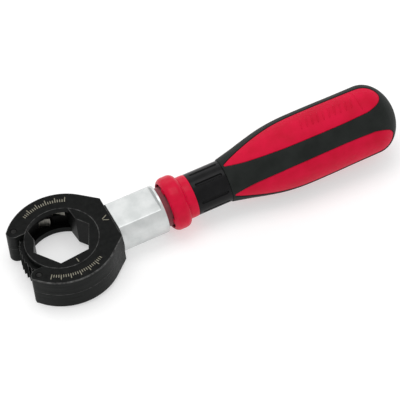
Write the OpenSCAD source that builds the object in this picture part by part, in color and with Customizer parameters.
// Open ratchet ring wrench: C-shaped head in two halves, rotating hexagon ring with its own mouth,
// four sprung pawls, flatted bar and a two-colour screwdriver handle.
// Frame: origin at the centre of the ring at mid-height, +Z along the ring's axis, +X to the handle.

/* [Head] */
// Thickness of the head
head_t = 19; // [17:0.5:22]
// Outer radius of the head
head_r = 28.5; // [28:0.1:30]
// Distance from the ring's centre to the flat end of the head
head_end_x = 27.2; // [27:0.1:29]
// Half width of the flat end of the head
head_end_half = 13.6; // [13:0.1:14.5]
// Width of the head's mouth
mouth_w = 23.4; // [22:0.1:24]
// Radius of the rounded arm tips
tip_r = 4; // [3.5:0.1:4.2]
// Distance of the tip rivets from the ring's centre
tip_pin_ring_r = 24.8; // [24.6:0.1:25]
// Radius of the tip rivets
tip_pin_r = 1.5; // [1:0.1:1.7]

/* [Ratchet ring] */
// Size across the flats of the hexagon opening
hex_af = 27.2; // [26:0.1:28]
// Radius of the smooth collar that turns in the head
collar_r = 18.85; // [18.6:0.05:19]
// Radius over the teeth
tooth_tip_r = 21.8; // [21.4:0.1:21.9]
// Height of the teeth
tooth_h = 0.9; // [0.6:0.1:1]
// Number of teeth, a multiple of 12
tooth_count = 48; // [36:12:60]
// Height of the toothed band
band_t = 12; // [10:0.5:13]
// Direction that the ring's mouth faces, in degrees from +X
ring_turn = 95.2; // [0:0.1:180]

/* [Pawls] */
// Height of a pawl
pawl_t = 5.7; // [4:0.1:5.7]
// Distance of the pawl pins from the ring's centre
pawl_pin_ring_r = 25; // [24.8:0.1:25.2]
// Radius of the pawl pins
pawl_pin_r = 1; // [0.8:0.1:1.1]
// Radius of a pawl's heel
pawl_heel_r = 2; // [1.8:0.1:2.1]
// Angle at the ring's centre between a pawl's nose and its pin
pawl_reach = 17; // [15:0.5:18]

/* [Bar] */
// Radius of the bar
bar_r = 12.55; // [12:0.05:13]
// Half thickness over the bar's flats
bar_flat_half = 9.4; // [9:0.1:9.5]
// End of the bar at the handle
bar_end_x = 52.8; // [50:0.1:54]
// Length of the full-round end of the bar
bar_round_len = 1.2; // [0.8:0.1:2]

/* [Handle] */
// Front face of the red bead
bead_x = 55.6; // [55:0.1:57]
// Length of the bead
bead_len = 9.9; // [8:0.1:11]
// Radius of the bead
bead_r = 14; // [13:0.1:15]
// Rounding radius of the bead's edges
bead_round = 3.6; // [3:0.1:4]
// Radius of the neck
neck_r = 10.9; // [10:0.1:11.2]
// Front end of the black neck sleeve
sleeve_x = 70; // [69:0.1:72]
// Front end of the soft grip
grip_x = 88.5; // [87:0.1:90]
// Largest radius of the grip
belly_r = 18.3; // [17.5:0.1:19]
// Start of the domed end
dome_x = 168; // [165:0.5:170]
// Butt end of the handle
butt_x = 182.2; // [180:0.1:186]
// Thickness of the soft grip
grip_wall = 3.5; // [3:0.1:4]

/* [Hidden] */
$fn = 96;
eps = 0.01;
half_t = head_t / 2;

// Running and seating clearances
run_gap = 0.05;
axial_gap = 0.1;
pocket_gap = 0.35;

// Head
lip_r = collar_r + run_gap;
chamber_r = tooth_tip_r + 0.4;
chamber_half = band_t / 2 + axial_gap;
mouth_half = mouth_w / 2;
tip_y = mouth_half + tip_r - 0.1;
tip_angle = 180 - asin(tip_y / tip_pin_ring_r);
tip_x = tip_pin_ring_r * cos(tip_angle);
tangent_angle = atan2(head_end_half, head_end_x) + acos(head_r / norm([head_end_x, head_end_half]));
edge_cut = 0.6;
boss_h = 0.6;
bar_x = head_end_x + boss_h;

// Fasteners inside the head
screw_pos = [23.6, 11.2];
screw_r = 1.5;
screw_head_r = 2.8;
screw_top = half_t - 3;
dowel_pos = [-15.6, 20];
dowel_r = 1.25;
dowel_half = 5;
stud_r = 4;
stud_head_r = 6;
stud_head_t = 1.7;
stud_head_x = 23.1;
stud_end_x = 42;

// Teeth, pawls and springs
tooth_pitch = 360 / tooth_count;
tooth_root_r = tooth_tip_r - tooth_h;
pawl_phases = [8.5, 11.25, -9, -12.25];
pawl_layers = [1, -1, 1, -1];
nose_r = tooth_root_r + 0.15;
nose_lead = 0.8;
pawl_back_r = 24.2;
pawl_back_reach = 7.5;
pawl_mid = pawl_t / 2 + axial_gap;
pocket_r = 27.25;
pawl_pin_end = 8.3;
spring_half = 2;
spring_t = 0.35;
spring_arc_r = 3;
spring_reach = 4;
spring_gap = 0.12;

// Bar and tang
tang_r = 5;
tang_x = 44;
tang_end_x = 135;

// Handle
spigot_r = 10.3;
grip_step = 0.4;
core_neck_r = neck_r + grip_step - grip_wall;
waist_x = bead_x + bead_len + 1.4;
waist_r = neck_r + 0.5;
pocket_depth = 3;
rib_half = 1.6;
bead_pocket_out = 11.6;
groove_r = 0.9;
groove_front = 2;
groove_back = 1.6;
groove_turn = 26;
dome_step = 0.3;

// Points that the grip's outline passes through, front to back: distance past grip_x, radius
grip_points = [
    [0, neck_r + grip_step],
    [5.5, 12.5],
    [10, 13.5],
    [18.6, 15.6],
    [27, belly_r - 1.05],
    [37, belly_r - 0.1],
    [51, belly_r],
    [66, belly_r - 0.2],
    [dome_x - grip_x, belly_r - dome_step]
];
// Points of an inlay's edge: distance past grip_x, half width in plan
inlay_points = [
    [1, 0.1],
    [5, 2.3],
    [12.5, 4.8],
    [24, 7.4],
    [36.5, 8.8],
    [60, 9],
    [76, 8.5]
];
inlay_end_x = 176;
spline_steps = 4;

function polar(r, a) = [r * cos(a), r * sin(a)];

// Catmull-Rom point between p[i] and p[i + 1]; the end points are doubled
function spline_point(p, i, t) =
    let (a = p[max(i - 1, 0)], b = p[i], c = p[i + 1], d = p[min(i + 2, len(p) - 1)])
    (2 * b + (c - a) * t + (2 * a - 5 * b + 4 * c - d) * t * t + (3 * b - a - 3 * c + d) * t * t * t) / 2;

function spline(p) = concat(
    [for (i = [0 : len(p) - 2], k = [0 : spline_steps - 1]) spline_point(p, i, k / spline_steps)],
    [p[len(p) - 1]]
);

// Outline of the grip from its front edge to the butt, as [x, radius], a depth below the surface
function grip_outline(depth) = concat(
    [for (q = spline(grip_points)) [grip_x + q[0], q[1] - depth]],
    [for (a = [80 : -10 : 10])
        [dome_x + (butt_x - dome_x - depth) * cos(a), (belly_r - dome_step - depth) * sin(a)]],
    [[butt_x - depth, 0]]
);

// Solid of revolution round the X axis from a list of [x, radius] points that ends on the axis
module revolve_x(points) {
    rotate([0, 90, 0])
        rotate_extrude()
            polygon([for (q = points) [q[1], q[0]]]);
}

module rod_x(r, x0, x1) {
    translate([x0, 0, 0])
        rotate([0, 90, 0])
            cylinder(r = r, h = x1 - x0);
}

module both_sides() {
    children();
    mirror([0, 1, 0])
        children();
}

// Plan of the head: a disc, its tangents to the flat end, and two round-tipped arms
module head_plan() {
    difference() {
        union() {
            circle(r = head_r);
            polygon([
                [0, 0],
                polar(head_r, -tangent_angle),
                [head_end_x, -head_end_half],
                [head_end_x, head_end_half],
                polar(head_r, tangent_angle)
            ]);
        }
        translate([-2 * head_r, -mouth_half])
            square([2 * head_r, mouth_w]);
        translate([head_end_x, -head_r])
            square([head_r, 2 * head_r]);
        both_sides()
            polygon([
                [tip_x, tip_y],
                polar(tip_pin_ring_r + 2 * tip_r, tip_angle),
                [-2 * head_r, tip_y],
                [-2 * head_r, 0],
                [tip_x, 0]
            ]);
    }
    both_sides()
        translate([tip_x, tip_y])
            circle(r = tip_r);
}

// Round blank with a bevelled rim, which trims the top edge of the head's round part
module bevelled_blank() {
    translate([0, 0, -half_t])
        cylinder(r1 = head_r - edge_cut, r2 = head_r, h = edge_cut);
    translate([0, 0, -half_t + edge_cut])
        cylinder(r = head_r, h = head_t - 2 * edge_cut);
    translate([0, 0, half_t - edge_cut])
        cylinder(r1 = head_r, r2 = head_r - edge_cut, h = edge_cut);
    corner = polar(head_r, tangent_angle);
    translate([corner[0] - 1, -head_r, -half_t])
        cube([head_end_x - corner[0] + 1, 2 * head_r, head_t]);
}

module pawl_pocket(i) {
    heel = pawl_heel(i);
    in_layer(i) {
        translate([0, 0, -pawl_mid])
            linear_extrude(height = 2 * pawl_mid) {
                translate(heel)
                    circle(r = pawl_heel_r + pocket_gap - 0.25);
                pocket_sector(pawl_angle(i) - 3, pawl_angle(i) + pawl_reach);
            }
        translate(heel)
            cylinder(r = pawl_pin_r, h = pawl_pin_end - pawl_mid);
    }
}

// Pawls lie in two layers: odd ones above the parting face, even ones below it
module in_layer(i) {
    if (pawl_layers[i] > 0)
        translate([0, 0, pawl_mid])
            children();
    else
        mirror([0, 0, 1])
            translate([0, 0, pawl_mid])
                children();
}

module pocket_sector(a0, a1) {
    intersection() {
        difference() {
            circle(r = pocket_r);
            circle(r = chamber_r - 0.5);
        }
        polygon([[0, 0], polar(2 * head_r, a0), polar(2 * head_r, (a0 + a1) / 2), polar(2 * head_r, a1)]);
    }
}

// Space for the stud's round head and its neck
module stud_space() {
    rod_x(stud_head_r, stud_head_x - axial_gap, stud_head_x + stud_head_t);
    rod_x(stud_r, stud_head_x, head_end_x + 5);
}

module head_solid() {
    difference() {
        union() {
            intersection() {
                translate([0, 0, -half_t])
                    linear_extrude(height = head_t)
                        head_plan();
                bevelled_blank();
            }
            flatted_rod(head_end_x - 1, bar_x);
        }
        cylinder(r = lip_r, h = 2 * head_t, center = true);
        cylinder(r = chamber_r, h = 2 * chamber_half, center = true);
        for (i = [0 : 3])
            pawl_pocket(i);
        both_sides() {
            translate([tip_x, tip_y])
                cylinder(r = tip_pin_r, h = 2 * head_t, center = true);
            translate(dowel_pos)
                cylinder(r = dowel_r, h = 2 * dowel_half, center = true);
            translate(screw_pos)
                screw_solid();
        }
        stud_space();
    }
}

// Length of the bar's section: round with a flat above and below
module flatted_rod(x0, x1) {
    intersection() {
        rod_x(bar_r, x0, x1);
        translate([x0, -2 * bar_r, -bar_flat_half])
            cube([x1 - x0, 4 * bar_r, 2 * bar_flat_half]);
    }
}

// Countersunk screw from the underside, blind in the upper half
module screw_solid() {
    translate([0, 0, -half_t])
        cylinder(r = screw_r, h = half_t + screw_top);
    translate([0, 0, -half_t])
        cylinder(r1 = screw_head_r, r2 = screw_r, h = screw_head_r - screw_r);
}

module upper_shell() {
    color([0.13, 0.13, 0.13])
        intersection() {
            head_solid();
            translate([-50, -50, 0])
                cube([100, 100, half_t]);
        }
}

module lower_shell() {
    color([0.11, 0.11, 0.11])
        intersection() {
            head_solid();
            translate([-50, -50, -half_t])
                cube([100, 100, half_t]);
        }
}

// Saw teeth: the radius climbs over one pitch, then drops along a radial face
function tooth_ring() = [
    for (k = [0 : tooth_count - 1])
        each [polar(tooth_root_r, k * tooth_pitch + 0.01), polar(tooth_tip_r, (k + 1) * tooth_pitch - 0.2)]
];

module ratchet_ring() {
    hex_r = hex_af / sqrt(3);
    ring_mouth = 1.5 * hex_r;
    color([0.2, 0.2, 0.2])
        difference() {
            union() {
                translate([0, 0, -half_t])
                    cylinder(r = collar_r, h = head_t);
                translate([0, 0, -band_t / 2])
                    linear_extrude(height = band_t)
                        polygon(tooth_ring());
            }
            rotate([0, 0, ring_turn + 30])
                cylinder(r = hex_r, h = 2 * head_t, center = true, $fn = 6);
            rotate([0, 0, ring_turn])
                translate([0, -ring_mouth / 2, -head_t])
                    cube([head_r, ring_mouth, 2 * head_t]);
        }
}

function pawl_angle(i) = pawl_phases[i] * tooth_pitch;

function pawl_heel(i) = polar(pawl_pin_ring_r, pawl_angle(i) + pawl_reach);

// How far a pawl's nose is lifted at rest: the ring meets the four pawls a quarter pitch apart
function nose_lift(i) =
    let (phase = pawl_phases[i] - floor(pawl_phases[i]))
    phase == 0 ? 0 : phase * tooth_h + 0.1;

function pawl_lift_angle(i) = asin(nose_lift(i) / (nose_r * sin(pawl_reach)));

// Pawl drawn in full mesh with its steep face on its own nose angle, then lifted about its pin
module pawl(i) {
    a = pawl_angle(i);
    heel = pawl_heel(i);
    arm_dir = a + pawl_reach;
    heel_inset = 0.8 * pawl_heel_r;
    color([0.55, 0.54, 0.52])
        in_layer(i)
            translate(heel)
                rotate([0, 0, pawl_lift_angle(i)])
                    translate(-heel)
                        difference() {
                            union() {
                                translate(heel)
                                    cylinder(r = pawl_heel_r, h = pawl_t, center = true);
                                translate([0, 0, -pawl_t / 2])
                                    linear_extrude(height = pawl_t)
                                        polygon([
                                            polar(nose_r, a + nose_lead),
                                            polar(nose_r + 0.1, a + nose_lead + 0.9),
                                            polar(chamber_r + 0.1, a + 8),
                                            heel + polar(heel_inset, arm_dir + 200),
                                            heel + polar(heel_inset, arm_dir + 100),
                                            heel + polar(heel_inset, arm_dir - 50),
                                            polar(pawl_back_r, a + pawl_back_reach),
                                            polar(pawl_back_r, a + nose_lead)
                                        ]);
                            }
                            translate(heel)
                                cylinder(r = pawl_pin_r + run_gap, h = 2 * pawl_t, center = true);
                        }
}

module pawl_1() { pawl(0); }
module pawl_2() { pawl(1); }
module pawl_3() { pawl(2); }
module pawl_4() { pawl(3); }

module pawl_pins() {
    color([0.6, 0.6, 0.6])
        for (i = [0 : 3])
            in_layer(i)
                translate(concat(pawl_heel(i), eps - pawl_mid))
                    cylinder(r = pawl_pin_r, h = pawl_pin_end - eps);
}

// Leaf spring: a bowed strip between the pocket's outer wall and the pawl's back
module pawl_spring(i) {
    crown_r = pawl_back_r + 0.8 * nose_lift(i) + spring_gap;
    crown = polar(crown_r + spring_arc_r, pawl_angle(i) + spring_reach);
    color([0.7, 0.7, 0.72])
        in_layer(i)
            translate([0, 0, -spring_half])
                linear_extrude(height = 2 * spring_half)
                    intersection() {
                        translate(crown)
                            difference() {
                                circle(r = spring_arc_r);
                                circle(r = spring_arc_r - spring_t);
                            }
                        pocket_sector(pawl_angle(i) - 2.9, pawl_angle(i) + 10.3);
                    }
}

module pawl_spring_1() { pawl_spring(0); }
module pawl_spring_2() { pawl_spring(1); }
module pawl_spring_3() { pawl_spring(2); }
module pawl_spring_4() { pawl_spring(3); }

module tip_rivets() {
    color([0.3, 0.3, 0.3])
        both_sides()
            translate([tip_x, tip_y])
                cylinder(r = tip_pin_r, h = head_t, center = true);
}

module shell_screws() {
    color([0.35, 0.35, 0.35])
        both_sides()
            translate(screw_pos)
                difference() {
                    screw_solid();
                    translate([0, 0, -half_t - eps])
                        cylinder(r = 1.1, h = 1.2, $fn = 6);
                }
}

module locating_dowels() {
    color([0.6, 0.6, 0.6])
        both_sides()
            translate(dowel_pos)
                cylinder(r = dowel_r, h = 2 * dowel_half, center = true);
}

// Stud with a round head, trapped between the two halves and screwed into the bar
module head_stud() {
    color([0.6, 0.6, 0.6])
        union() {
            rod_x(stud_head_r, stud_head_x, stud_head_x + stud_head_t);
            rod_x(stud_r, stud_head_x + 0.5, stud_end_x);
        }
}

// Bar between the head's boss and the handle, with bores for the stud and the tang
module shank_bar() {
    color([0.82, 0.84, 0.85])
        difference() {
            union() {
                flatted_rod(bar_x, bar_end_x - bar_round_len);
                rod_x(bar_r, bar_end_x - bar_round_len, bar_end_x);
            }
            rod_x(stud_r, bar_x - 1, stud_end_x);
            rod_x(tang_r, tang_x, bar_end_x + 1);
        }
}

module handle_tang() {
    color([0.6, 0.6, 0.6])
        rod_x(tang_r, tang_x, tang_end_x);
}

// Red core: front spigot, bead with four face pockets, short neck, and the body under the grip
module handle_core() {
    bead_back = bead_x + bead_len;
    front = concat(
        [[bar_end_x, 0], [bar_end_x, spigot_r], [bead_x, spigot_r]],
        [for (a = [180 : -15 : 90])
            [bead_x + bead_round * (1 + cos(a)), bead_r - bead_round * (1 - sin(a))]],
        [for (a = [90 : -15 : 15])
            [bead_back - bead_round * (1 - cos(a)), bead_r - bead_round * (1 - sin(a))]],
        [[waist_x, waist_r], [waist_x + 2, neck_r], [sleeve_x, neck_r], [sleeve_x, core_neck_r]]
    );
    color([0.75, 0.08, 0.12])
        difference() {
            revolve_x(concat(front, grip_outline(grip_wall)));
            rod_x(tang_r, bar_end_x - 1, tang_end_x);
            for (q = [0 : 3])
                rotate([90 * q, 0, 0])
                    bead_pocket();
        }
}

// Quarter-ring recess in the bead's front face, between two ribs
module bead_pocket() {
    intersection() {
        difference() {
            rod_x(bead_pocket_out, bead_x - 1, bead_x + pocket_depth);
            rod_x(spigot_r, bead_x - 2, bead_x + pocket_depth + 1);
        }
        translate([bead_x - 1, rib_half, rib_half])
            cube([pocket_depth + 1, bead_r, bead_r]);
    }
}

module neck_sleeve() {
    color([0.05, 0.05, 0.05])
        difference() {
            rod_x(neck_r, sleeve_x, grip_x);
            rod_x(core_neck_r, sleeve_x - 1, grip_x + 1);
            for (q = [0 : 3], s = [-1, 1])
                rotate([90 * q + 45 + s * groove_turn, 0, 0])
                    translate([0, 0, neck_r + groove_r / 2])
                        rod_x(groove_r, sleeve_x + groove_front, grip_x - groove_back);
        }
}

// The grip's wall, between its outer surface and the core
module grip_shell() {
    difference() {
        revolve_x(concat([[grip_x, 0]], grip_outline(0)));
        revolve_x(concat([[grip_x, 0]], grip_outline(grip_wall)));
    }
}

function inlay_plan() =
    let (side = [for (q = spline(inlay_points)) [grip_x + q[0], q[1]]])
    let (last = side[len(side) - 1])
    let (cap = [for (a = [80 : -10 : -80]) [last[0] + (inlay_end_x - last[0]) * cos(a), last[1] * sin(a)]])
    concat(side, cap, [for (k = [len(side) - 1 : -1 : 0]) [side[k][0], -side[k][1]]]);

module inlay_block(q) {
    rotate([90 * q, 0, 0])
        linear_extrude(height = 2 * belly_r)
            polygon(inlay_plan());
}

module soft_grip() {
    color([0.07, 0.08, 0.08])
        difference() {
            grip_shell();
            for (q = [0 : 3])
                inlay_block(q);
        }
}

module inlay(q) {
    color([0.8, 0.1, 0.15])
        intersection() {
            grip_shell();
            inlay_block(q);
        }
}

module inlay_top() { inlay(0); }
module inlay_left() { inlay(3); }
module inlay_bottom() { inlay(2); }
module inlay_right() { inlay(1); }

upper_shell();
lower_shell();
ratchet_ring();
pawl_1();
pawl_2();
pawl_3();
pawl_4();
pawl_pins();
pawl_spring_1();
pawl_spring_2();
pawl_spring_3();
pawl_spring_4();
tip_rivets();
shell_screws();
locating_dowels();
head_stud();
shank_bar();
handle_tang();
handle_core();
neck_sleeve();
soft_grip();
inlay_top();
inlay_left();
inlay_bottom();
inlay_right();
